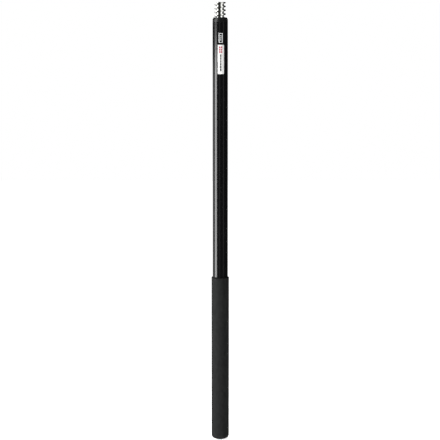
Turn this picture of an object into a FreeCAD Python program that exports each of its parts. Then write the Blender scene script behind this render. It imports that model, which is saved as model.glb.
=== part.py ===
"""Telescopic boom pole, closed: a handle tube with a foam grip, two sections that slide out of it,
and a coarse threaded stud on the head. Each sliding section is held by a twist lock inside the tube
round it: a spindle in the section's lower end draws a cone into a slotted sleeve, which spreads.

Millimetres. +Z runs along the pole, from the closed end of the grip (z = 0) to the tip of the stud.
The origin is the lowest point of the grip's domed end, on the pole's axis. The label faces -Y.
"""

import FreeCAD, Part
import math
import os
from FreeCAD import Vector

# ---- driving dimensions -------------------------------------------------------------------------
closed_length = 750.0        # grip end to stud tip, all sections in

# tubes
outer_od = 26.0
outer_wall = 1.2
middle_wall = 1.0
inner_wall = 1.0
outer_bush_wall = 1.15
middle_bush_wall = 0.85
running_gap = 0.08           # on radius, a tube in its bush or a sleeve on its neck
stack_gap = 0.2              # flat faces of two bodies that meet when the pole is closed

# mouth bushes
outer_bush_length = 40.0
outer_lip = 1.5
middle_bush_length = 32.0
middle_lip = 1.2

# head and stud
stud_length = 26.0
stud_crest_d = 18.8
stud_pitch = 6.5
stud_thread_depth = 3.15
stud_crest_width = 1.8
stud_base_width = 3.6
stud_thread_lead = 0.8       # the spiral starts this much more than a pitch below the head's face
stud_tip_chamfer = 0.9
stud_centre_mark_d = 3.0
shank_d = 8.0
shank_length = 24.0
head_height = 5.9
head_chamfer_width = 1.6
head_chamfer_height = 3.2
head_under_gauge = 0.05      # the head is this much smaller than the outer tube, on radius
head_recess_depth = 2.0
head_recess_gap = 0.4
head_plug_length = 30.0
seat_relief_gap = 0.4        # shallow sink round the stud's crest, so that a fitting seats flat
seat_relief_depth = 0.4
head_pin_d = 3.0
head_pin_drop = 18.0         # below the head's top face
pin_end_recess = 0.3

# grip
grip_length = 282.1
grip_wall = 2.0
grip_floor = 6.5
grip_crown_r = 27.0
grip_corner_r = 6.8
grip_mouth_fillet = 0.7

# closed end of the outer tube
butt_flange = 2.0
butt_plug_length = 12.0
butt_plug_hollow_d = 14.0
butt_plug_skin = 3.0
buffer_thickness = 3.0
buffer_rim_gap = 0.6
inner_buffer_thickness = 2.0

# twist locks
lock_bore_gap = 0.08         # on radius, sleeve in the tube round it
spindle_plug_length = 18.0
spindle_collar = 2.0
spindle_neck_d = 8.0
spindle_thread_d = 6.0
spindle_thread_depth = 0.8
spindle_pitch = 3.0
spindle_thread_gap = 0.15
spindle_base_width = 1.65
spindle_crest_width = 0.75
spindle_end_d = 4.0
spindle_pin_d = 2.5
sleeve_ring = 5.0
sleeve_chamber = 3.0
sleeve_cone = 14.0
sleeve_mouth_wall = 1.2
sleeve_end_gap = 0.3
cone_angle = 8.0             # degrees, half angle
cone_gap = 0.1
cone_tail = 2.5
cone_travel = 1.5
slot_count = 4
slot_first_angle = 45.0      # degrees from +X
slot_width = 2.0
key_side_gap = 0.2
key_depth_gap = 0.6
key_length = 8.0
sleeve_groove_count = 3
sleeve_groove_width = 1.0
sleeve_groove_depth = 0.35
washer_d = 9.0
washer_thickness = 1.0
washer_gap = 0.5
nut_across_flats = 7.0
nut_height = 3.0
spindle_tail = 1.0

# labels on the outer tube, measured down from the stud's tip
label_skin = 0.1
badge_top = 52.0
badge_height = 17.2
badge_arc = 8.8
badge_turn = 1.2            # degrees towards +X
spec_label_top = 72.2
spec_label_height = 49.2
spec_label_arc = 10.8
spec_label_turn = 5.0

least_thread_share = 0.3     # of a ridge's volume that a join or a cut must change

# ---- sizes that follow ----------------------------------------------------------------------------
outer_r = outer_od / 2
outer_bore = outer_r - outer_wall
middle_r = outer_bore - outer_bush_wall - running_gap
middle_bore = middle_r - middle_wall
inner_r = middle_bore - middle_bush_wall - running_gap
inner_bore = inner_r - inner_wall

head_top = closed_length - stud_length
head_bottom = head_top - head_height
head_ceiling = head_bottom + head_recess_depth
outer_top = head_bottom - stack_gap - outer_lip
outer_bottom = grip_floor + butt_flange
middle_top = head_ceiling - stack_gap - middle_lip
buffer_top = outer_bottom + butt_plug_length + buffer_thickness

sleeve_length = sleeve_ring + sleeve_chamber + sleeve_cone
cone_overhang = sleeve_end_gap + cone_tail
lock_drop = (spindle_collar + sleeve_end_gap + sleeve_length + cone_tail + cone_travel + washer_gap
             + washer_thickness + nut_height + spindle_tail)
middle_bottom = buffer_top + stack_gap + lock_drop
inner_buffer_top = middle_bottom + spindle_plug_length + inner_buffer_thickness
inner_bottom = inner_buffer_top + stack_gap + lock_drop


# ---- shapes used more than once ------------------------------------------------------------------
def rod(radius, low, high):
    return Part.makeCylinder(radius, high - low, Vector(0, 0, low))


def pipe(outside, inside, low, high):
    return rod(outside, low, high).cut(rod(inside, low - 1, high + 1))


def turned(points):
    """A solid of revolution about the pole's axis, from (radius, z) corners."""
    corners = [Vector(r, 0, z) for r, z in points]
    outline = Part.makePolygon(corners + corners[:1])
    return Part.Face(outline).revolve(Vector(0, 0, 0), Vector(0, 0, 1), 360)


def cross_pin(diameter, tube_radius, z):
    """A pin across the pole, along X, that ends just inside a tube's outside."""
    half = math.sqrt(tube_radius ** 2 - (diameter / 2) ** 2) - pin_end_recess
    return Part.makeCylinder(diameter / 2, 2 * half, Vector(-half, 0, z), Vector(1, 0, 0))


def pin_hole(diameter, reach, z):
    return Part.makeCylinder(diameter / 2, 2 * reach, Vector(-reach, 0, z), Vector(1, 0, 0))


def screw_ridge(root_r, crest_r, pitch, base_width, crest_width, low, high):
    """A right-hand thread's ridge, sunk a little into its core. Its crest is on +X at z = low."""
    sink = 0.25 * (crest_r - root_r)
    slope = (base_width - crest_width) / 2 / (crest_r - root_r)
    base_half = base_width / 2 + slope * sink
    crest_half = crest_width / 2
    corners = [
        Vector(root_r - sink, 0, -base_half),
        Vector(crest_r, 0, -crest_half),
        Vector(crest_r, 0, crest_half),
        Vector(root_r - sink, 0, base_half),
    ]
    profile = Part.makePolygon(corners + corners[:1])
    helix = Part.makeHelix(pitch, high - low, root_r)
    ridge = Part.Wire(helix.Edges).makePipeShell([profile], True, True)
    ridge.translate(Vector(0, 0, low))
    return ridge


def add_ridge(core, ridge):
    """Joins a thread's ridge to its core, and stops if the join added nothing."""
    joined = core.fuse(ridge)
    if joined.Volume < core.Volume + least_thread_share * ridge.Volume:
        raise ValueError("a thread's ridge wasn't joined to its core")
    return joined


def cut_thread(blank, ridge, low, high):
    """Cuts a ridge's shape into a hole's wall from low to high, and stops if that cut nothing.

    The ridge is trimmed to the wall first: cut whole, it removes nothing.
    """
    past = 0.25 * spindle_pitch
    trimmed = ridge.common(rod(spindle_thread_d, low - past, high + past))
    tapped = blank.cut(trimmed)
    if tapped.Volume > blank.Volume - least_thread_share * trimmed.Volume:
        raise ValueError("a nut's thread wasn't cut")
    return tapped


def curved_patch(radius, skin, arc, low, high, turn):
    """A thin sheet on a cylinder, arc wide round it, centred on -Y and turned towards +X."""
    angle = math.degrees(arc / radius)
    sheet = Part.makeCylinder(radius + skin, high - low, Vector(0, 0, low), Vector(0, 0, 1), angle)
    sheet = sheet.cut(rod(radius, low - 1, high + 1))
    sheet.rotate(Vector(0, 0, 0), Vector(0, 0, 1), -90 - angle / 2 + turn)
    return sheet


# ---- handle section ------------------------------------------------------------------------------
def outer_tube():
    return pipe(outer_r, outer_bore, outer_bottom, outer_top)


def mouth_bush(tube_r, tube_bore, slide_r, top, lip, length):
    """A guide bush in a tube's mouth: a barrel in the bore and a lip over the tube's end."""
    barrel = pipe(tube_bore, slide_r + running_gap, top - length, top)
    cover = pipe(tube_r, slide_r + running_gap, top, top + lip)
    return barrel.fuse(cover).removeSplitter()


def butt_plug():
    low = grip_floor
    flange = rod(outer_r, low, outer_bottom)
    barrel = rod(outer_bore, outer_bottom, outer_bottom + butt_plug_length)
    hollow = rod(butt_plug_hollow_d / 2, low - 1, outer_bottom + butt_plug_length - butt_plug_skin)
    return flange.fuse(barrel).cut(hollow).removeSplitter()


def end_buffer():
    low = outer_bottom + butt_plug_length
    return rod(outer_bore - buffer_rim_gap, low, low + buffer_thickness)


def foam_grip():
    """A sleeve with a closed, domed end: a shallow crown run into a rounded corner."""
    side = outer_r + grip_wall
    corner_x = side - grip_corner_r
    reach = grip_crown_r - grip_corner_r
    corner_z = grip_crown_r - math.sqrt(reach ** 2 - corner_x ** 2)
    share = grip_crown_r / reach
    meet = Vector(corner_x * share, 0, grip_crown_r - (grip_crown_r - corner_z) * share)

    def on_circle(x, z, radius, degrees):
        a = math.radians(degrees)
        return Vector(x + radius * math.cos(a), 0, z + radius * math.sin(a))

    meet_angle = math.degrees(math.atan2(corner_z - grip_crown_r, corner_x))
    crown_middle = on_circle(0, grip_crown_r, grip_crown_r, (meet_angle - 90) / 2)
    corner_middle = on_circle(corner_x, corner_z, grip_corner_r, meet_angle / 2)
    mouth = grip_length - grip_mouth_fillet
    fillet_middle = on_circle(side - grip_mouth_fillet, mouth, grip_mouth_fillet, 45)
    end = Vector(0, 0, 0)
    low_side = Vector(side, 0, corner_z)
    high_side = Vector(side, 0, mouth)
    mouth_edge = Vector(side - grip_mouth_fillet, 0, grip_length)
    inside = [
        mouth_edge,
        Vector(outer_r, 0, grip_length),
        Vector(outer_r, 0, grip_floor),
        Vector(0, 0, grip_floor),
        end,
    ]
    edges = [
        Part.Arc(end, crown_middle, meet).toShape(),
        Part.Arc(meet, corner_middle, low_side).toShape(),
        Part.LineSegment(low_side, high_side).toShape(),
        Part.Arc(high_side, fillet_middle, mouth_edge).toShape(),
    ]
    edges += [Part.LineSegment(a, b).toShape() for a, b in zip(inside, inside[1:])]
    return Part.Face(Part.Wire(edges)).revolve(Vector(0, 0, 0), Vector(0, 0, 1), 360)


def badge():
    high = closed_length - badge_top
    return curved_patch(outer_r, label_skin, badge_arc, high - badge_height, high, badge_turn)


def spec_label():
    high = closed_length - spec_label_top
    low = high - spec_label_height
    return curved_patch(outer_r, label_skin, spec_label_arc, low, high, spec_label_turn)


# ---- twist locks ---------------------------------------------------------------------------------
def cone_radius(bore, z_below_cone_top):
    """The sleeve's inside radius in its cone, a way down from where the cone starts."""
    mouth = bore - lock_bore_gap - sleeve_mouth_wall
    return mouth - (sleeve_cone - z_below_cone_top) * math.tan(math.radians(cone_angle))


def spindle(tube_r, tube_bore, tube_low):
    """Plug in the tube, collar under it, neck for the sleeve, thread for the cone, end for the nut."""
    collar_low = tube_low - spindle_collar
    neck_low = collar_low - sleeve_ring - 2 * sleeve_end_gap
    tip = tube_low - lock_drop
    thread_low = tip + spindle_tail + nut_height + washer_thickness
    crest_r = spindle_thread_d / 2
    root_r = crest_r - spindle_thread_depth
    body = turned([
        (0, tube_low + spindle_plug_length),
        (tube_bore, tube_low + spindle_plug_length),
        (tube_bore, tube_low),
        (tube_r, tube_low),
        (tube_r, collar_low),
        (spindle_neck_d / 2, collar_low),
        (spindle_neck_d / 2, neck_low),
        (root_r, neck_low),
        (root_r, thread_low),
        (spindle_end_d / 2, thread_low),
        (spindle_end_d / 2, tip),
        (0, tip),
    ])
    ridge = spindle_ridge(0, thread_low, neck_low)
    ridge = ridge.common(rod(crest_r + 1, thread_low, neck_low))
    body = add_ridge(body, ridge).removeSplitter()
    return body.cut(pin_hole(spindle_pin_d, tube_r + 1, spindle_pin_z(tube_low)))


def spindle_ridge(gap, low, high):
    """The spindle's ridge, or with a gap the ridge that a nut's thread is cut with."""
    crest_r = spindle_thread_d / 2 + gap
    root_r = spindle_thread_d / 2 - spindle_thread_depth + gap
    base = spindle_base_width + 2 * gap
    crest = spindle_crest_width + 2 * gap
    start = low - spindle_pitch
    return screw_ridge(root_r, crest_r, spindle_pitch, base, crest, start, high + spindle_pitch)


def spindle_pin_z(tube_low):
    return tube_low + spindle_plug_length / 2


def lock_sleeve(bore, tube_low):
    """A sleeve on the spindle's neck, slotted from below, with a cone inside and grip grooves."""
    top = tube_low - spindle_collar - sleeve_end_gap
    low = top - sleeve_length
    outside = bore - lock_bore_gap
    chamber_top = top - sleeve_ring
    cone_top = chamber_top - sleeve_chamber
    neck_r = spindle_neck_d / 2 + running_gap
    body = turned([
        (neck_r, top),
        (outside, top),
        (outside, low),
        (cone_radius(bore, sleeve_cone), low),
        (cone_radius(bore, 0), cone_top),
        (cone_radius(bore, 0), chamber_top),
        (neck_r, chamber_top),
    ])
    for k in range(slot_count):
        slot = Part.makeBox(outside + 1, slot_width, chamber_top - low + 1,
                            Vector(0, -slot_width / 2, low - 1))
        slot.rotate(Vector(0, 0, 0), Vector(0, 0, 1), slot_first_angle + k * 360 / slot_count)
        body = body.cut(slot)
    step = sleeve_cone / (sleeve_groove_count + 1)
    for k in range(sleeve_groove_count):
        z = low + step * (k + 1)
        groove = pipe(outside + 1, outside - sleeve_groove_depth,
                      z - sleeve_groove_width / 2, z + sleeve_groove_width / 2)
        body = body.cut(groove)
    return body


def lock_cone(bore, tube_low):
    """A cone nut on the spindle's thread. Keys in the sleeve's slots stop it turning."""
    sleeve_top = tube_low - spindle_collar - sleeve_end_gap
    sleeve_low = sleeve_top - sleeve_length
    cone_top = sleeve_low + sleeve_cone
    low = sleeve_low - cone_tail
    tail_r = cone_radius(bore, sleeve_cone) - cone_gap
    body = turned([
        (0, cone_top),
        (cone_radius(bore, 0) - cone_gap, cone_top),
        (tail_r, sleeve_low),
        (tail_r, low),
        (0, low),
    ])
    key_r = bore - lock_bore_gap - key_depth_gap
    for k in range(slot_count):
        width = slot_width - 2 * key_side_gap
        key = Part.makeBox(key_r, width, key_length + cone_tail, Vector(0, -width / 2, low))
        key.rotate(Vector(0, 0, 0), Vector(0, 0, 1), slot_first_angle + k * 360 / slot_count)
        body = body.fuse(key)
    thread_low = tube_low - lock_drop + spindle_tail + nut_height + washer_thickness
    neck_low = tube_low - spindle_collar - sleeve_ring - 2 * sleeve_end_gap
    core_r = spindle_thread_d / 2 - spindle_thread_depth + spindle_thread_gap
    bored = body.removeSplitter().cut(rod(core_r, low - 1, cone_top + 1))
    ridge = spindle_ridge(spindle_thread_gap, thread_low, neck_low)
    return cut_thread(bored, ridge, low, cone_top)


def stop_washer(tube_low):
    low = tube_low - lock_drop + spindle_tail + nut_height
    return pipe(washer_d / 2, spindle_end_d / 2, low, low + washer_thickness)


def stop_nut(tube_low):
    low = tube_low - lock_drop + spindle_tail
    corner_r = nut_across_flats / math.sqrt(3)
    corners = [
        Vector(corner_r * math.cos(math.radians(60 * k)), corner_r * math.sin(math.radians(60 * k)), low)
        for k in range(6)
    ]
    blank = Part.Face(Part.makePolygon(corners + corners[:1])).extrude(Vector(0, 0, nut_height))
    return blank.cut(rod(spindle_end_d / 2, low - 1, low + nut_height + 1))


# ---- sliding sections ----------------------------------------------------------------------------
def middle_tube():
    tube = pipe(middle_r, middle_bore, middle_bottom, middle_top)
    return tube.cut(pin_hole(spindle_pin_d, middle_r + 1, spindle_pin_z(middle_bottom)))


def inner_buffer():
    low = middle_bottom + spindle_plug_length
    return rod(middle_bore - buffer_rim_gap, low, low + inner_buffer_thickness)


def inner_tube():
    tube = pipe(inner_r, inner_bore, inner_bottom, head_ceiling)
    tube = tube.cut(pin_hole(spindle_pin_d, inner_r + 1, spindle_pin_z(inner_bottom)))
    return tube.cut(pin_hole(head_pin_d, inner_r + 1, head_top - head_pin_drop))


def head_cap():
    """A flange over the tubes' mouths, on a plug in the inner tube, bored for the stud's shank."""
    flange_r = outer_r - head_under_gauge
    relief_r = stud_crest_d / 2 + seat_relief_gap
    relief_z = head_top - seat_relief_depth
    bore_low = relief_z - shank_length
    body = turned([
        (shank_d / 2, relief_z),
        (relief_r, relief_z),
        (relief_r, head_top),
        (flange_r - head_chamfer_width, head_top),
        (flange_r, head_top - head_chamfer_height),
        (flange_r, head_bottom),
        (middle_r + head_recess_gap, head_bottom),
        (middle_r + head_recess_gap, head_ceiling),
        (inner_bore, head_ceiling),
        (inner_bore, head_ceiling - head_plug_length),
        (0, head_ceiling - head_plug_length),
        (0, bore_low),
        (shank_d / 2, bore_low),
    ])
    return body.cut(pin_hole(head_pin_d, inner_r + 1, head_top - head_pin_drop))


def threaded_stud():
    """A coarse trapezoid thread on a solid core, with a plain shank into the head."""
    low = head_top - seat_relief_depth
    crest_r = stud_crest_d / 2
    root_r = crest_r - stud_thread_depth
    core = turned([
        (0, closed_length - stud_centre_mark_d / 2),
        (stud_centre_mark_d / 2, closed_length),
        (root_r, closed_length),
        (root_r, low),
        (shank_d / 2, low),
        (shank_d / 2, low - shank_length),
        (0, low - shank_length),
    ])
    start = head_top - stud_pitch - stud_thread_lead
    ridge = screw_ridge(root_r, crest_r, stud_pitch, stud_base_width, stud_crest_width,
                        start, closed_length + stud_pitch)
    envelope = turned([
        (0, low),
        (crest_r + 1, low),
        (crest_r + 1, closed_length - stud_tip_chamfer - 1),
        (crest_r - stud_tip_chamfer, closed_length),
        (0, closed_length),
    ])
    mark = turned([
        (0, closed_length - stud_centre_mark_d / 2),
        (stud_centre_mark_d / 2, closed_length),
        (0, closed_length),
    ])
    body = add_ridge(core, ridge.common(envelope)).cut(mark)
    return body.cut(pin_hole(head_pin_d, inner_r + 1, head_top - head_pin_drop))


# ---- the assembly --------------------------------------------------------------------------------
def lock_nodes(name, bore, tube_r, tube_bore, tube_low):
    return {
        name + "_spindle": spindle(tube_r, tube_bore, tube_low),
        name + "_spindle_pin": cross_pin(spindle_pin_d, tube_r, spindle_pin_z(tube_low)),
        name + "_lock_sleeve": lock_sleeve(bore, tube_low),
        name + "_lock_cone": lock_cone(bore, tube_low),
        name + "_stop_washer": stop_washer(tube_low),
        name + "_stop_nut": stop_nut(tube_low),
    }


nodes = {
    "outer_tube": outer_tube(),
    "outer_mouth_bush": mouth_bush(
        outer_r, outer_bore, middle_r, outer_top, outer_lip, outer_bush_length),
    "butt_plug": butt_plug(),
    "end_buffer": end_buffer(),
    "foam_grip": foam_grip(),
    "badge": badge(),
    "spec_label": spec_label(),
    "middle_tube": middle_tube(),
    "middle_mouth_bush": mouth_bush(
        middle_r, middle_bore, inner_r, middle_top, middle_lip, middle_bush_length),
    "inner_buffer": inner_buffer(),
    "inner_tube": inner_tube(),
    "head_cap": head_cap(),
    "threaded_stud": threaded_stud(),
    "head_pin": cross_pin(head_pin_d, inner_r, head_top - head_pin_drop),
}
nodes.update(lock_nodes("middle", outer_bore, middle_r, middle_bore, middle_bottom))
nodes.update(lock_nodes("inner", middle_bore, inner_r, inner_bore, inner_bottom))

os.makedirs("parts", exist_ok=True)
for name, shape in nodes.items():
    if not shape.isValid():
        raise ValueError(name + " isn't a valid shape")
    if len(shape.Solids) == 1:
        shape = shape.Solids[0]
    shape.exportStep("parts/" + name + ".step")
    box = shape.BoundBox
    print(f"{name:22s} solids {len(shape.Solids)}  volume {shape.Volume:10.1f}"
          f"  r {max(box.XMax, box.YMax):7.3f}  z {box.ZMin:8.3f} to {box.ZMax:8.3f}")
middle_travel = outer_top - outer_bush_length - (middle_bottom - spindle_collar - sleeve_end_gap)
inner_travel = middle_top - middle_bush_length - (inner_bottom - spindle_collar - sleeve_end_gap)
print(f"tube radii {outer_r} {middle_r:.3f} {inner_r:.3f}, bores {outer_bore:.3f} {middle_bore:.3f}"
      f" {inner_bore:.3f}; free travel: middle {middle_travel:.2f}, inner {inner_travel:.2f}")
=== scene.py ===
"""Looks for a telescopic boom pole: a foam grip, a film badge and a printed label, the finishes
of the metal and plastic pieces, and the studio. Laid out as an add-on, and run as a script."""

import math

import bpy
from bpy.props import FloatProperty, FloatVectorProperty, IntProperty, PointerProperty
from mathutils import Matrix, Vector


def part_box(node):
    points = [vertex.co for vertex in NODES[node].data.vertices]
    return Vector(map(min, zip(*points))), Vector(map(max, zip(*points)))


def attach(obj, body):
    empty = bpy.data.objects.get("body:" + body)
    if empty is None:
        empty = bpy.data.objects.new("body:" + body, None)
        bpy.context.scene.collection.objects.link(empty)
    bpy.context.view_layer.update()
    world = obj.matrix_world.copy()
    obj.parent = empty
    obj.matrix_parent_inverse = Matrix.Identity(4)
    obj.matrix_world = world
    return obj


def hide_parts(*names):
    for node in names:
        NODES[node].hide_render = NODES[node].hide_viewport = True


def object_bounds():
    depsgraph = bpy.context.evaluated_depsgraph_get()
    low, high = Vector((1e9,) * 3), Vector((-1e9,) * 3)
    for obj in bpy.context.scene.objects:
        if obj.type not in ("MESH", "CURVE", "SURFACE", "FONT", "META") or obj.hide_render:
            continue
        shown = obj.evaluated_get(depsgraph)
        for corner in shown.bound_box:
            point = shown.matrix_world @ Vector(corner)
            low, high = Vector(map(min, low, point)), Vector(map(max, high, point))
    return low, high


bl_info = {
    "name": "Boom Pole",
    "version": (1, 0, 0),
    "blender": (4, 5, 0),
    "location": "View3D > Sidebar > Boom Pole",
    "description": "Builds the grip, labels, finishes and studio round a boom pole's frame",
    "category": "Add Mesh",
}

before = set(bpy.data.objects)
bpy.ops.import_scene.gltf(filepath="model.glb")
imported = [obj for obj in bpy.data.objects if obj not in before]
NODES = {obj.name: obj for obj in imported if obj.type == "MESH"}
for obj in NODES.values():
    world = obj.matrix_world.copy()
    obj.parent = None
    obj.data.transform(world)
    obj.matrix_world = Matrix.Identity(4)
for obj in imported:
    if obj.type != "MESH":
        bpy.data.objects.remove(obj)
cad_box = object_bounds()
MM = 0.001

GRIP_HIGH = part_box("foam_grip")[1]
GRIP_R = GRIP_HIGH.x
MOUTH_TOP = GRIP_HIGH.z
TUBE_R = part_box("outer_tube")[1].x
BADGE_LOW, BADGE_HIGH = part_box("badge")
LABEL_LOW, LABEL_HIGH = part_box("spec_label")


# ---- colours and nodes ---------------------------------------------------------------------------
def linear(code):
    """An sRGB hex colour, such as 1a1b1c, as linear red, green, blue and alpha."""
    def channel(pair):
        c = int(pair, 16) / 255
        return c / 12.92 if c <= 0.04045 else ((c + 0.055) / 1.055) ** 2.4
    return tuple(channel(code[k:k + 2]) for k in (0, 2, 4)) + (1.0,)


def add(tree, kind, values=None, links=None, **settings):
    """Adds a node with its settings, its sockets' values and the links into them."""
    node = tree.nodes.new("ShaderNode" + kind)
    for key, value in settings.items():
        setattr(node, key, value)
    for key, value in (values or {}).items():
        node.inputs[key].default_value = value
    for key, socket in (links or {}).items():
        tree.links.new(socket, node.inputs[key])
    return node


def new_material(name, **constants):
    """A material with one Principled shader, whose constants are set on its own sockets."""
    material = bpy.data.materials.new(name)
    material.use_nodes = True
    tree = material.node_tree
    tree.nodes.clear()
    shader = add(tree, "BsdfPrincipled", {key.replace("_", " "): v for key, v in constants.items()})
    add(tree, "OutputMaterial", links={"Surface": shader.outputs["BSDF"]})
    return material, tree, shader


def ramp(tree, factor, low, high, start=0.3, end=0.7):
    """Two colours, mixed as factor goes from start to end. Their defaults span a noise's middle."""
    node = add(tree, "ValToRGB", links={"Fac": factor})
    node.color_ramp.elements[0].position = start
    node.color_ramp.elements[1].position = end
    node.color_ramp.elements[0].color = low
    node.color_ramp.elements[1].color = high
    return node.outputs["Color"]


def grain(tree, size, detail=3.0):
    """Noise whose grain is size=(x, y, z) metres, on the piece's own coordinates."""
    place = add(tree, "TexCoord").outputs["Object"]
    scaled = add(tree, "Mapping", {"Scale": tuple(1 / s for s in size)}, {"Vector": place})
    noise = add(tree, "TexNoise", {"Scale": 1.0, "Detail": detail, "Roughness": 0.55},
                {"Vector": scaled.outputs["Vector"]})
    return noise.outputs["Fac"]


def spread(tree, factor, low, high):
    """Maps the middle of a noise, 0.3 to 0.7, to low to high."""
    node = add(tree, "MapRange", {"From Min": 0.3, "From Max": 0.7, "To Min": low, "To Max": high},
               {"Value": factor})
    return node.outputs["Result"]


def relief(tree, shader, height, depth, strength):
    """Bump of a given depth in metres, and how much of it is used."""
    node = add(tree, "Bump", {"Distance": depth, "Strength": strength}, {"Height": height})
    tree.links.new(node.outputs["Normal"], shader.inputs["Normal"])


def total(tree, a, b, share):
    """a plus a share of b."""
    return add(tree, "Math", {1: share}, {0: b, 2: a}, operation="MULTIPLY_ADD").outputs["Value"]


def ink(tree, base, mask, colour):
    """Lays an ink of a colour over a base where the mask is 1."""
    return add(tree, "Mix", {7: colour}, {0: mask, 6: base}, data_type="RGBA").outputs[2]


# ---- finishes ------------------------------------------------------------------------------------
def drawn_anodised_aluminium(name, dark, pale, rough):
    """Drawn aluminium tube, anodised. Drawing leaves faint lines along it, which the satin coat
    nearly fills, so a highlight is a clean strip with a soft edge. Lines are 0.6 mm apart."""
    material, tree, shader = new_material(name, IOR=1.45)
    lines = grain(tree, (0.6 * MM, 0.6 * MM, 160 * MM), 4.0)
    blotch = grain(tree, (14 * MM, 14 * MM, 60 * MM))
    tree.links.new(ramp(tree, blotch, dark, pale), shader.inputs["Base Color"])
    tree.links.new(spread(tree, total(tree, lines, blotch, 0.3), rough - 0.03, rough + 0.05),
                   shader.inputs["Roughness"])
    relief(tree, shader, lines, 0.001 * MM, 0.4)
    return material


def turned_metal(name, dark_hex, pale_hex, rough, metallic, pitch):
    """Metal turned on a lathe: fine rings round the pole, and a little mottling from handling."""
    material, tree, shader = new_material(name, Metallic=metallic)
    rings = grain(tree, (30 * MM, 30 * MM, pitch))
    mottle = grain(tree, (2.5 * MM, 2.5 * MM, 2.5 * MM), 4.0)
    colour = ramp(tree, mottle, linear(dark_hex), linear(pale_hex))
    tree.links.new(colour, shader.inputs["Base Color"])
    tree.links.new(spread(tree, total(tree, rings, mottle, 0.4), rough - 0.05, rough + 0.12),
                   shader.inputs["Roughness"])
    relief(tree, shader, rings, 0.01 * MM, 0.6)
    return material


def moulded_plastic(name, dark_hex, pale_hex, rough, texture):
    """Injection-moulded nylon or acetal: an even fine texture from the tool, slightly cloudy."""
    material, tree, shader = new_material(name, IOR=1.5)
    fine = grain(tree, (texture, texture, texture), 2.0)
    cloud = grain(tree, (9 * MM, 9 * MM, 9 * MM))
    colour = ramp(tree, cloud, linear(dark_hex), linear(pale_hex))
    tree.links.new(colour, shader.inputs["Base Color"])
    tree.links.new(spread(tree, fine, rough - 0.05, rough + 0.08), shader.inputs["Roughness"])
    relief(tree, shader, fine, 0.02 * MM, 0.5)
    return material


def closed_cell_foam(name, dark, pale, cell, top, mouth_shade_band):
    """Closed-cell rubber foam with a ground skin. Cut cells make it dull and finely pocked, with an
    open pore here and there, and dust in them lightens it in patches. The pocks are painted darker
    than their rims and the open pores near black, as painted shade in them. Cells are drawn at
    twice their real 0.4 mm to show. A band at its mouth, up to the height top, is painted dark, as
    painted shade where the foam meets the tube."""
    material, tree, shader = new_material(name, IOR=1.45, Specular_IOR_Level=0.2)
    place = add(tree, "TexCoord").outputs["Object"]
    cells = add(tree, "TexVoronoi", {"Scale": 1 / cell}, {"Vector": place}, feature="SMOOTH_F1")
    pore_spacing = 2.5 * cell
    pores = add(tree, "TexVoronoi", {"Scale": 1 / pore_spacing}, {"Vector": place}, feature="F1")
    ragged = total(tree, pores.outputs["Distance"], grain(tree, (cell, cell, cell), 4.0), 0.5)
    open_pore = add(tree, "MapRange",
                    {"From Min": 0.34, "From Max": 0.44, "To Min": 1.0, "To Max": 0.0},
                    {"Value": ragged}).outputs["Result"]
    patches = grain(tree, (5 * MM, 5 * MM, 8 * MM), 4.0)
    # The cell distance darkens each pock against its rim: painted shade in the pocks.
    mix = total(tree, patches, cells.outputs["Distance"], 0.35)
    # Open pores are inked near black: painted shade in the holes.
    ground = ink(tree, ramp(tree, mix, dark, pale, 0.35, 0.95), open_pore, linear("0b0b0b"))
    # Painted shade: the band at the mouth, where the foam meets the tube, is inked near black.
    height = add(tree, "SeparateXYZ", links={"Vector": place}).outputs["Z"]
    fade = 0.5 * MM
    mouth_shade = add(tree, "MapRange",
                 {"From Min": top - mouth_shade_band - fade, "From Max": top - mouth_shade_band},
                 {"Value": height}).outputs["Result"]
    tree.links.new(ink(tree, ground, mouth_shade, linear("080808")), shader.inputs["Base Color"])
    tree.links.new(spread(tree, patches, 0.86, 0.97), shader.inputs["Roughness"])
    relief(tree, shader, total(tree, cells.outputs["Distance"], open_pore, -0.8), 0.22 * MM, 0.8)
    return material


# ---- modelling -----------------------------------------------------------------------------------
def clear_selection():
    """Leaves edit mode and deselects everything."""
    if bpy.context.object and bpy.context.object.mode != "OBJECT":
        bpy.ops.object.mode_set(mode="OBJECT")
    bpy.ops.object.select_all(action="DESELECT")


def apply_modifier(piece, kind, **settings):
    """Adds a modifier to the piece, which is the active one, and applies it."""
    modifier = piece.modifiers.new(kind.title(), kind)
    for key, value in settings.items():
        setattr(modifier, key, value)
    bpy.ops.object.modifier_apply(modifier=modifier.name)


def settle(piece, name, material, angle=35.0):
    """Applies the piece's place, names it, shades it and gives it its finish."""
    bpy.ops.object.transform_apply(location=True, rotation=True, scale=True)
    bpy.ops.object.shade_smooth_by_angle(angle=math.radians(angle))
    piece.name = name
    piece.data.name = name
    piece.data.materials.clear()
    piece.data.materials.append(material)


def pick(piece, test):
    """In edit mode, selects the vertices that pass a test, and nothing else."""
    bpy.ops.mesh.select_mode(type="VERT")
    bpy.ops.mesh.select_all(action="DESELECT")
    bpy.ops.object.mode_set(mode="OBJECT")
    for vertex in piece.data.vertices:
        vertex.select = test(vertex.co)
    bpy.ops.object.mode_set(mode="EDIT")


def draw_out(radius, z, rings):
    """In edit mode, extrudes the selected ring, at a radius and height, through (radius, z) rings."""
    for next_radius, next_z in rings:
        bpy.ops.mesh.extrude_region_move(TRANSFORM_OT_translate={"value": (0, 0, next_z - z)})
        share = next_radius / radius
        bpy.ops.transform.resize(value=(share, share, 1))
        radius, z = next_radius, next_z


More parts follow.
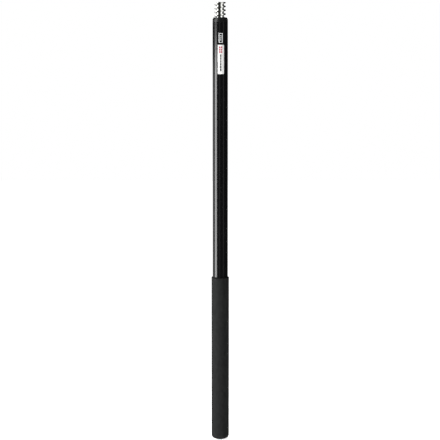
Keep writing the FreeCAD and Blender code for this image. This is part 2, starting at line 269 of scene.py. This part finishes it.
# ---- settings ------------------------------------------------------------------------------------
class GripSettings(bpy.types.PropertyGroup):
    corner: FloatProperty(name="Corner", description="Radius of the closed end's corner",
                          default=6.8 * MM, unit="LENGTH")
    crown: FloatProperty(name="Crown", description="Radius of the closed end's dome",
                         default=27.0 * MM, unit="LENGTH")
    lip: FloatProperty(name="Lip", description="Rounding of the foam's mouth",
                       default=0.7 * MM, unit="LENGTH")
    # The dark band at the mouth is painted shade where the foam meets the tube.
    mouth_shade: FloatProperty(name="Mouth shade band", description="Height of the dark band at the mouth",
                          default=1.5 * MM, unit="LENGTH")
    bore: FloatProperty(name="Bore", description="How far down the mouth the bore is modelled",
                        default=12.0 * MM, unit="LENGTH")
    spacing: FloatProperty(name="Spacing", description="Between the rings down the side",
                           default=1.4 * MM, unit="LENGTH")
    cell: FloatProperty(name="Cell", description="Size of a foam cell as drawn",
                        default=0.8 * MM, unit="LENGTH")
    ripple: FloatProperty(name="Ripple", description="How far the ground skin wanders",
                          default=0.12 * MM, unit="LENGTH")
    sides: IntProperty(name="Sides", description="Faces round the grip", default=120, min=24)
    dark: FloatVectorProperty(name="Dark", description="The foam's darker colour", subtype="COLOR",
                              size=4, min=0.0, max=1.0, default=linear("161717"))
    pale: FloatVectorProperty(name="Pale", description="The foam's paler colour", subtype="COLOR",
                              size=4, min=0.0, max=1.0, default=linear("252626"))


class LabelSettings(bpy.types.PropertyGroup):
    film: FloatProperty(name="Film", description="Thickness of the films",
                        default=0.1 * MM, unit="LENGTH")
    badge_corner: FloatProperty(name="Badge corner", description="Rounding of the badge's corners",
                                default=2.2 * MM, unit="LENGTH")
    label_corner: FloatProperty(name="Label corner", description="Rounding of the label's corners",
                                default=0.6 * MM, unit="LENGTH")
    marks: FloatVectorProperty(name="Badge marks", description="Colour of the badge's frame and bars",
                               subtype="COLOR", size=4, min=0.0, max=1.0, default=linear("e4e6e6"))
    blocks: FloatVectorProperty(name="Blocks", description="Colour of the label's blocks",
                                subtype="COLOR", size=4, min=0.0, max=1.0, default=linear("b3123a"))
    dashes: FloatVectorProperty(name="Dashes", description="Colour of the label's dashes",
                                subtype="COLOR", size=4, min=0.0, max=1.0, default=linear("222223"))


class FinishSettings(bpy.types.PropertyGroup):
    tube_dark: FloatVectorProperty(name="Tube, dark", description="Handle tube's darker colour",
                                   subtype="COLOR", size=4, min=0.0, max=1.0,
                                   default=linear("0a0a0b"))
    tube_pale: FloatVectorProperty(name="Tube, pale", description="Handle tube's paler colour",
                                   subtype="COLOR", size=4, min=0.0, max=1.0,
                                   default=linear("0e0e0f"))
    slide_dark: FloatVectorProperty(name="Sections, dark", description="Sections' darker colour",
                                    subtype="COLOR", size=4, min=0.0, max=1.0,
                                    default=linear("151617"))
    slide_pale: FloatVectorProperty(name="Sections, pale", description="Sections' paler colour",
                                    subtype="COLOR", size=4, min=0.0, max=1.0,
                                    default=linear("1b1c1e"))
    tube_rough: FloatProperty(name="Tube roughness", description="0 is a mirror, 1 is dull",
                              default=0.11, min=0.0, max=1.0, subtype="FACTOR")
    slide_rough: FloatProperty(name="Section roughness", description="0 is a mirror, 1 is dull",
                               default=0.2, min=0.0, max=1.0, subtype="FACTOR")


class StageSettings(bpy.types.PropertyGroup):
    distance: FloatProperty(name="Distance", description="From the camera to the pole's middle",
                            default=3.03, unit="LENGTH")
    elevation: FloatProperty(name="Elevation", description="Camera's height as an angle",
                             default=math.radians(5.0), subtype="ANGLE")
    lens: FloatProperty(name="Lens", description="Focal length in millimetres", default=144.9)
    aim: FloatVectorProperty(name="Aim", description="Where the camera looks, from the pole's middle",
                             default=(-0.0004, 0.0, 0.0047), subtype="TRANSLATION")
    ambient: FloatProperty(name="Ambient", description="Light that comes from all round, white is 1",
                           default=0.45, min=0.0)
    mirrored: FloatProperty(name="Mirrored", description="How bright a gloss surface sees the walls",
                            default=0.02, min=0.0)
    ceiling: FloatProperty(name="Ceiling", description="How bright it sees overhead and underfoot",
                           default=0.18, min=0.0)
    floor_glow: FloatProperty(name="Floor glow", description="Light the floor gives by itself",
                              default=0.75, min=0.0)
    floor_size: FloatProperty(name="Floor size", description="Length of the floor's side",
                              default=14.0, unit="LENGTH")


# ---- operators -----------------------------------------------------------------------------------
class BOOM_OT_grip(bpy.types.Operator):
    """Model the foam grip ring by ring, with a rolled mouth and a closed, domed end"""
    bl_idname = "boom.grip"
    bl_label = "Foam Grip"

    def execute(self, context):
        s = context.scene.boom_grip
        clear_selection()
        side_top = MOUTH_TOP - s.lip
        bpy.ops.mesh.primitive_circle_add(vertices=s.sides, radius=GRIP_R, location=(0, 0, side_top))
        piece = context.object
        bpy.ops.object.mode_set(mode="EDIT")
        bpy.ops.mesh.select_all(action="SELECT")
        draw_out(GRIP_R, side_top, self.rings(s, side_top))
        bpy.ops.mesh.merge(type="CENTER")
        self.mouth(piece, s, side_top)
        bpy.ops.mesh.select_all(action="SELECT")
        bpy.ops.mesh.remove_doubles(threshold=0.01 * MM)
        bpy.ops.mesh.normals_make_consistent(inside=False)
        bpy.ops.object.mode_set(mode="OBJECT")
        self.skin(piece, s)
        foam = closed_cell_foam("closed_cell_foam_ground", s.dark, s.pale, s.cell, MOUTH_TOP,
                                s.mouth_shade)
        settle(piece, "foam_grip_sleeve", foam, 60.0)
        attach(piece, "handle")
        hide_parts("foam_grip")
        return {"FINISHED"}

    def rings(self, s, side_top):
        """(radius, z) of each ring down the side and round the closed end. The end is a corner arc
        that runs into a shallow dome, where both have the same slope, at the angle meet."""
        corner_x = GRIP_R - s.corner
        reach = s.crown - s.corner
        corner_z = s.crown - math.sqrt(reach ** 2 - corner_x ** 2)
        meet = math.atan2(corner_z - s.crown, corner_x)
        count = round((side_top - corner_z) / s.spacing)
        side = [(GRIP_R, side_top + (corner_z - side_top) * k / count) for k in range(1, count + 1)]
        bend_steps, dome_steps = 10, 14
        bend = []
        for k in range(1, bend_steps + 1):
            angle = meet * k / bend_steps
            bend.append((corner_x + s.corner * math.cos(angle), corner_z + s.corner * math.sin(angle)))
        dome = []
        for k in range(1, dome_steps):
            angle = meet + (-math.pi / 2 - meet) * k / dome_steps
            dome.append((s.crown * math.cos(angle), s.crown + s.crown * math.sin(angle)))
        pole = (0.05 * MM, 0.0)
        return side + bend + dome + [pole]

    def mouth(self, piece, s, side_top):
        """Rolls the top edge over and takes it down the bore, where the tube hides it."""
        near = 0.02 * MM
        pick(piece, lambda co: abs(co.z + piece.location.z - side_top) < near)
        roll_steps = 6
        rings = []
        for k in range(1, roll_steps + 1):
            angle = math.radians(90 * k / roll_steps)
            rings.append((GRIP_R - s.lip + s.lip * math.cos(angle), side_top + s.lip * math.sin(angle)))
        bore = TUBE_R + 0.02 * MM
        rings += [(bore, MOUTH_TOP), (bore, MOUTH_TOP - s.bore)]
        draw_out(GRIP_R, side_top, rings)

    def skin(self, piece, s):
        """A shallow wander in the ground surface, kept off the bore. Grinding takes foam away, so
        nearly all of the wander lies inwards."""
        outside = piece.vertex_groups.new(name="outside")
        clear = TUBE_R + 0.5 * MM
        shown = [v.index for v in piece.data.vertices if math.hypot(v.co.x, v.co.y) > clear]
        outside.add(shown, 1.0, "REPLACE")
        wander = bpy.data.textures.new("foam_wander", "CLOUDS")
        wander.noise_scale = 6 * MM
        apply_modifier(piece, "DISPLACE", texture=wander, strength=s.ripple, mid_level=0.9,
                       vertex_group="outside", texture_coords="LOCAL")


def film(context, name, low, high, corner, thickness, material):
    """A thin film with rounded corners, cut flat in front of the tube, wrapped on a smooth form of
    the tube's size and then given its thickness."""
    width, height = high.x - low.x, high.z - low.z
    middle = ((low.x + high.x) / 2, -2 * TUBE_R, (low.z + high.z) / 2)
    clear_selection()
    bpy.ops.mesh.primitive_plane_add(size=1, rotation=(math.pi / 2, 0, 0), location=middle)
    piece = context.object
    piece.scale = (width, height, 1)
    bpy.ops.object.transform_apply(location=True, rotation=True, scale=True)
    bpy.ops.object.mode_set(mode="EDIT")
    bpy.ops.mesh.select_all(action="SELECT")
    bpy.ops.mesh.bevel(offset=corner, segments=8, affect="VERTICES")
    strips = 24
    for k in range(1, strips):
        bpy.ops.mesh.select_all(action="SELECT")
        bpy.ops.mesh.bisect(plane_co=(low.x + width * k / strips, 0, 0), plane_no=(1, 0, 0))
    bpy.ops.object.mode_set(mode="OBJECT")
    clear_selection()
    form_sides = 720
    bpy.ops.mesh.primitive_cylinder_add(vertices=form_sides, radius=TUBE_R, depth=3 * height,
                                        location=(0, 0, (low.z + high.z) / 2))
    form = context.object
    clear_selection()
    piece.select_set(True)
    context.view_layer.objects.active = piece
    glue = 0.01 * MM
    apply_modifier(piece, "SHRINKWRAP", target=form, wrap_method="PROJECT", use_project_y=True,
                   use_negative_direction=True, use_positive_direction=True, offset=glue)
    bpy.data.objects.remove(form)
    apply_modifier(piece, "SOLIDIFY", thickness=thickness, offset=1.0)
    bpy.ops.object.mode_set(mode="EDIT")
    bpy.ops.mesh.select_all(action="SELECT")
    bpy.ops.mesh.normals_make_consistent(inside=False)
    bpy.ops.object.mode_set(mode="OBJECT")
    settle(piece, name, material)
    return piece


def box_mask(tree, place, centre, size, edge):
    """1 inside a rectangle in x and z, 0 outside, with a soft edge."""
    split = add(tree, "SeparateXYZ", links={"Vector": place})
    masks = []
    for axis, middle, length in (("X", centre[0], size[0]), ("Z", centre[1], size[1])):
        shifted = add(tree, "Math", {1: middle}, {0: split.outputs[axis]}, operation="SUBTRACT")
        away = add(tree, "Math", links={0: shifted.outputs["Value"]}, operation="ABSOLUTE")
        inside = add(tree, "MapRange", {"From Min": length / 2 - edge, "From Max": length / 2 + edge,
                                        "To Min": 1.0, "To Max": 0.0}, {"Value": away.outputs["Value"]})
        masks.append(inside.outputs["Result"])
    both = add(tree, "Math", links={0: masks[0], 1: masks[1]}, operation="MULTIPLY")
    return both.outputs["Value"]


def either(tree, sockets):
    """The largest of several masks."""
    result = sockets[0]
    for socket in sockets[1:]:
        result = add(tree, "Math", links={0: result, 1: socket}, operation="MAXIMUM").outputs["Value"]
    return result


def badge_film(low, high, marks):
    """Polyester film, screen printed: black, with a pale frame line and plain bars, printed a
    little to the right of its middle."""
    material, tree, shader = new_material("polyester_film_black", IOR=1.6, Coat_Weight=0.3)
    place = add(tree, "TexCoord").outputs["Object"]
    off_centre, margin_x, margin_z = 0.5 * MM, 1.1 * MM, 0.6 * MM
    line, bar, bar_pitch, bar_margin, edge = 0.9 * MM, 1.1 * MM, 3.4 * MM, 1.6 * MM, 0.08 * MM
    x, z = (low.x + high.x) / 2 + off_centre, (low.z + high.z) / 2
    width, height = high.x - low.x - 2 * margin_x, high.z - low.z - 2 * margin_z
    outer = box_mask(tree, place, (x, z), (width, height), edge)
    inner = box_mask(tree, place, (x, z), (width - 2 * line, height - 2 * line), edge)
    border = add(tree, "Math", links={0: outer, 1: inner}, operation="SUBTRACT").outputs["Value"]
    bars = [box_mask(tree, place, (x, z + k * bar_pitch), (width - 2 * bar_margin, bar), edge)
            for k in (-1, 0, 1)]
    wear = grain(tree, (1.5 * MM, 1.5 * MM, 1.5 * MM), 4.0)
    base = ramp(tree, wear, linear("070708"), linear("0d0d0e"))
    tree.links.new(ink(tree, base, either(tree, [border] + bars), marks), shader.inputs["Base Color"])
    tree.links.new(spread(tree, wear, 0.22, 0.32), shader.inputs["Roughness"])
    relief(tree, shader, wear, 0.006 * MM, 0.5)
    return material


def label_film(low, high, block_ink, dash_ink):
    """White vinyl film, printed with plain marks: two columns of three blocks over one column of
    six dashes. Drops are from the label's top edge to a mark's middle."""
    material, tree, shader = new_material("vinyl_film_white", IOR=1.5)
    place = add(tree, "TexCoord").outputs["Object"]
    middle = (low.x + high.x) / 2 - 0.3 * MM
    block, block_off = (2.1 * MM, 3.1 * MM), 1.55 * MM
    block_drop, block_pitch = 4.2 * MM, 3.95 * MM
    dash, dash_drop, dash_pitch = (2.3 * MM, 4.0 * MM), 18.3 * MM, 4.8 * MM
    block_edge, dash_edge = 0.1 * MM, 0.15 * MM
    blocks = [box_mask(tree, place, (middle + side * block_off, high.z - block_drop - block_pitch * k),
                       block, block_edge) for side in (-1, 1) for k in range(3)]
    dashes = [box_mask(tree, place, (middle, high.z - dash_drop - dash_pitch * k), dash, dash_edge)
              for k in range(6)]
    fleck = grain(tree, (3 * MM, 3 * MM, 3 * MM), 4.0)
    base = ramp(tree, fleck, linear("dcdcda"), linear("e6e6e5"))
    printed = ink(tree, base, either(tree, blocks), block_ink)
    printed = ink(tree, printed, either(tree, dashes), dash_ink)
    tree.links.new(printed, shader.inputs["Base Color"])
    tree.links.new(spread(tree, fleck, 0.32, 0.42), shader.inputs["Roughness"])
    relief(tree, shader, fleck, 0.006 * MM, 0.5)
    return material


class BOOM_OT_labels(bpy.types.Operator):
    """Lay the badge and the printed label on the handle tube"""
    bl_idname = "boom.labels"
    bl_label = "Badge and Label"

    def execute(self, context):
        s = context.scene.boom_label
        badge = film(context, "badge_film", BADGE_LOW, BADGE_HIGH, s.badge_corner, s.film,
                     badge_film(BADGE_LOW, BADGE_HIGH, s.marks))
        label = film(context, "spec_label_film", LABEL_LOW, LABEL_HIGH, s.label_corner, s.film,
                     label_film(LABEL_LOW, LABEL_HIGH, s.blocks, s.dashes))
        for piece, node, slot in ((badge, "badge", "black_badge_film"),
                                  (label, "spec_label", "white_label_film")):
            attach(piece, "handle")
            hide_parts(node)
        return {"FINISHED"}


class BOOM_OT_finishes(bpy.types.Operator):
    """Give the tubes, head, stud, bushes, plug, buffers and locks their finishes"""
    bl_idname = "boom.finishes"
    bl_label = "Finishes"

    def execute(self, context):
        s = context.scene.boom_finish
        tube = drawn_anodised_aluminium("anodised_aluminium_black_drawn", s.tube_dark, s.tube_pale,
                                        s.tube_rough)
        slide = drawn_anodised_aluminium("anodised_aluminium_graphite_drawn", s.slide_dark,
                                         s.slide_pale, s.slide_rough)
        head = turned_metal("anodised_aluminium_black_turned", "0a0a0b", "101112", 0.26, 0.0, 0.35 * MM)
        zinc = turned_metal("zinc_plated_steel_bright", "c6c7c3", "dededa", 0.12, 1.0, 0.25 * MM)
        alloy = turned_metal("aluminium_turned_bare", "b4b5b6", "c8c9ca", 0.3, 1.0, 0.3 * MM)
        steel = turned_metal("steel_ground_bare", "8f9092", "a6a7a9", 0.25, 1.0, 0.2 * MM)
        acetal = moulded_plastic("acetal_black_moulded", "0d0d0d", "131313", 0.38, 0.5 * MM)
        nylon = moulded_plastic("nylon_natural_moulded", "cfc7b2", "dbd4c1", 0.42, 0.6 * MM)
        grey = moulded_plastic("nylon_grey_moulded", "5a5b5c", "656667", 0.45, 0.6 * MM)
        rubber = moulded_plastic("nitrile_rubber_moulded", "161616", "1f1f1f", 0.8, 0.7 * MM)
        plan = {
            "outer_tube": tube, "middle_tube": slide, "inner_tube": slide, "head_cap": head,
            "threaded_stud": zinc, "outer_mouth_bush": acetal, "middle_mouth_bush": acetal,
            "butt_plug": acetal, "end_buffer": rubber, "inner_buffer": rubber, "head_pin": steel,
        }
        for section in ("middle", "inner"):
            plan[section + "_spindle"] = alloy
            plan[section + "_lock_sleeve"] = nylon
            plan[section + "_lock_cone"] = grey
            for fastener in ("_spindle_pin", "_stop_washer", "_stop_nut"):
                plan[section + fastener] = steel
        for node, material in plan.items():
            for slot in NODES[node].material_slots:
                slot.material = material
        return {"FINISHED"}


def softbox(name, azimuth, distance, low, high, half_angle, brightness, stud):
    """An upright area light that faces the pole's axis and spans heights low to high. Azimuth is
    from the camera's side, + to the right, and a white sheet in full light has brightness 1.
    stud is INCLUDE for a light that falls on the stud alone, and EXCLUDE for one that misses it."""
    data = bpy.data.lights.new(name, "AREA")
    data.shape = "RECTANGLE"
    data.size = 2 * distance * math.tan(math.radians(half_angle))
    data.size_y = high - low
    data.energy = 4 * brightness * data.size * data.size_y
    lamp = bpy.data.objects.new(name, data)
    bpy.context.scene.collection.objects.link(lamp)
    a = math.radians(azimuth)
    lamp.location = (distance * math.sin(a), -distance * math.cos(a), (low + high) / 2)
    facing = Vector((-lamp.location.x, -lamp.location.y, 0))
    lamp.rotation_euler = facing.to_track_quat("-Z", "Y").to_euler()
    lamp.visible_camera = False
    lit = bpy.data.collections.new(name + "_lights")
    lit.objects.link(NODES["threaded_stud"])
    lit.collection_objects[0].light_linking.link_state = stud
    lamp.light_linking.receiver_collection = lit


# name, azimuth, distance, low edge, high edge, half of its angle as the pole sees it, brightness,
# and whether it is kept to the stud or off it
SOFTBOXES = (
    ("key_left", -69.5, 1.0, 0.02, 0.60, 16.5, 7.9, "EXCLUDE"),
    ("key_left_top", -69.5, 1.0, 0.60, 0.668, 16.5, 9.4, "EXCLUDE"),
    ("key_left_fade", -72, 1.0, 0.668, 0.69, 14, 5.0, "EXCLUDE"),
    ("key_left_spill", -74, 1.0, 0.69, 0.755, 20, 1.6, "EXCLUDE"),
    ("key_left_high", -69.5, 1.0, 0.82, 2.2, 16.5, 3.0, "EXCLUDE"),
    ("bounce_left", -102, 2.0, 0.02, 0.656, 11, 0.65, "EXCLUDE"),
    ("bounce_back_left", -142, 2.0, 0.02, 0.656, 30, 0.5, "EXCLUDE"),
    ("strip_front", -11, 2.0, 0.02, 2.2, 7, 0.28, "EXCLUDE"),
    ("strip_right", 50, 2.0, 0.02, 2.2, 8, 0.28, "EXCLUDE"),
    ("stud_left", -98, 0.6, 0.66, 0.95, 24, 2.8, "INCLUDE"),
    ("stud_right", 40, 0.6, 0.66, 0.95, 25, 1.6, "INCLUDE"),
    ("stud_left_high", -84, 0.8, 1.2, 2.2, 17, 1.5, "INCLUDE"),
    ("stud_right_high", 38, 0.8, 1.2, 2.2, 17, 1.2, "INCLUDE"),
)


class BOOM_OT_stage(bpy.types.Operator):
    """Set the floor, the lights and the camera"""
    bl_idname = "boom.stage"
    bl_label = "Studio"

    def execute(self, context):
        s = context.scene.boom_stage
        context.scene.view_settings.view_transform = "Standard"
        clear_selection()
        bpy.ops.mesh.primitive_plane_add(size=s.floor_size, location=(0, 0, cad_box[0].z))
        floor = context.object
        floor.name = "studio_floor"
        floor.visible_glossy = False
        material, tree, shader = new_material("acrylic_sheet_white", Roughness=0.9,
                                              Emission_Color=linear("ffffff"),
                                              Emission_Strength=s.floor_glow)
        sheet = grain(tree, (20 * MM, 20 * MM, 20 * MM))
        white = ramp(tree, sheet, linear("f4f4f4"), linear("f8f8f8"))
        tree.links.new(white, shader.inputs["Base Color"])
        floor.data.materials.append(material)
        for box in SOFTBOXES:
            softbox(*box)
        self.backdrop(context, s)
        self.camera(context, s)
        return {"FINISHED"}

    def backdrop(self, context, s):
        """A white surround for the eye, even light for dull surfaces, and for gloss a dark room that
        gets lighter overhead and underfoot, where the way's rise passes 0.5."""
        world = bpy.data.worlds.new("studio")
        context.scene.world = world
        world.use_nodes = True
        tree = world.node_tree
        tree.nodes.clear()
        ray = add(tree, "LightPath").outputs
        white, even, dark = (add(tree, "Background", {"Color": linear("ffffff"), "Strength": power})
                             for power in (1.0, s.ambient, s.mirrored))
        way = add(tree, "TexCoord").outputs["Generated"]
        rise = add(tree, "SeparateXYZ", links={"Vector": way}).outputs["Z"]
        steep = add(tree, "Math", links={0: rise}, operation="ABSOLUTE").outputs["Value"]
        level = add(tree, "MapRange",
                    {"From Min": 0.5, "From Max": 0.85, "To Min": s.mirrored, "To Max": s.ceiling},
                    {"Value": steep}).outputs["Result"]
        tree.links.new(level, dark.inputs["Strength"])
        room = add(tree, "MixShader",
                   links={0: ray["Is Glossy Ray"], 1: even.outputs[0], 2: dark.outputs[0]})
        both = add(tree, "MixShader",
                   links={0: ray["Is Camera Ray"], 1: room.outputs[0], 2: white.outputs[0]})
        add(tree, "OutputWorld", links={"Surface": both.outputs[0]})

    def camera(self, context, s):
        middle = (cad_box[0] + cad_box[1]) / 2
        data = bpy.data.cameras.new("camera")
        data.lens = s.lens
        data.sensor_width = 36.0  # millimetres, as the lens is
        camera = bpy.data.objects.new("camera", data)
        context.scene.collection.objects.link(camera)
        camera.location = middle + Vector(
            (0, -s.distance * math.cos(s.elevation), s.distance * math.sin(s.elevation)))
        aim = middle + Vector(s.aim)
        camera.rotation_euler = (aim - camera.location).to_track_quat("-Z", "Y").to_euler()
        context.scene.camera = camera


class BOOM_PT_panel(bpy.types.Panel):
    """Lists the steps in the order they are run, and their settings"""
    bl_idname = "BOOM_PT_panel"
    bl_label = "Boom Pole"
    bl_space_type = "VIEW_3D"
    bl_region_type = "UI"
    bl_category = "Boom Pole"

    def draw(self, context):
        for operator in STEPS:
            self.layout.operator(operator.bl_idname)
        for name in SETTINGS:
            settings = getattr(context.scene, name)
            for prop in settings.bl_rna.properties:
                if not prop.is_readonly and prop.identifier != "name":
                    self.layout.prop(settings, prop.identifier)


STEPS = (BOOM_OT_stage, BOOM_OT_grip, BOOM_OT_labels, BOOM_OT_finishes)
SETTINGS = {"boom_grip": GripSettings, "boom_label": LabelSettings, "boom_finish": FinishSettings,
            "boom_stage": StageSettings}


def register():
    for cls in (*SETTINGS.values(), *STEPS, BOOM_PT_panel):
        bpy.utils.register_class(cls)
    for name, group in SETTINGS.items():
        setattr(bpy.types.Scene, name, PointerProperty(type=group))


def unregister():
    for name in SETTINGS:
        delattr(bpy.types.Scene, name)
    for cls in (BOOM_PT_panel, *reversed(STEPS), *reversed(list(SETTINGS.values()))):
        bpy.utils.unregister_class(cls)


def main():
    register()
    bpy.ops.boom.stage()
    bpy.ops.boom.grip()
    bpy.ops.boom.labels()
    bpy.ops.boom.finishes()


if __name__ == "__main__":
    main()
